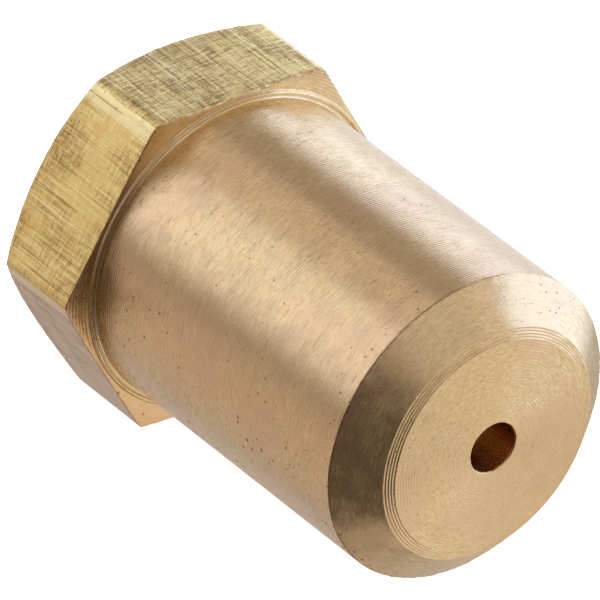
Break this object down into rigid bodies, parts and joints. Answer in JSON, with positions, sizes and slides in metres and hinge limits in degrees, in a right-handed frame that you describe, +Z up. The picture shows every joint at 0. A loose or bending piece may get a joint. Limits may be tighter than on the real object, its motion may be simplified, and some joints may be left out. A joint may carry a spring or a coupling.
{
  "type": "oil burner nozzle",
  "caption": "Turned brass burner nozzle: hexagon head with a female rear thread, straight barrel, chamfered nose with one outlet, and strainer, lock screw, distributor and orifice disc inside.",
  "frame": {"origin": "centre of the rear face, on the nozzle's axis, where the inlet thread opens", "axes": "+X along the axis towards the spray outlet, +Z up with one hexagon flat facing down"},
  "size_m": [0.0241, 0.0184, 0.0158],
  "materials": {
    "brass_body": "turned satin brass, drawn on the hexagon flats",
    "brass_inner": "turned brass",
    "steel": "fine ground stainless steel",
    "gauze": "woven stainless wire",
    "copper": "annealed copper, blanked"
  },
  "bodies": {
    "root": {"nozzle_body": "brass_body", "orifice_disc": "steel"},
    "distributor": {"swirl_distributor": "steel"},
    "lock_screw": {"lock_screw": "brass_inner"},
    "strainer": {"strainer_rim": "brass_inner", "strainer_support": "steel", "strainer_gauze": "gauze", "strainer_clamp_ring": "brass_inner"},
    "washer": {"sealing_washer": "copper"}
  },
  "joints": [
    {"name": "distributor_slide", "type": "slide", "parent": "root", "child": "distributor", "axis": [-1, 0, 0], "range_m": [0, 0.004]},
    {"name": "lock_screw_turn", "type": "hinge", "parent": "distributor", "child": "lock_screw", "pos_m": [0.0148, 0, 0], "axis": [-1, 0, 0], "range_deg": [0, 1440]},
    {"name": "strainer_slide", "type": "slide", "parent": "distributor", "child": "strainer", "axis": [-1, 0, 0], "range_m": [0, 0.014]},
    {"name": "washer_slide", "type": "slide", "parent": "root", "child": "washer", "axis": [-1, 0, 0], "range_m": [0, 0.012]}
  ],
  "couplings": [
    {"joint": "lock_screw_turn", "follows": "distributor_slide", "rad_per_m": 6283.2}
  ]
}
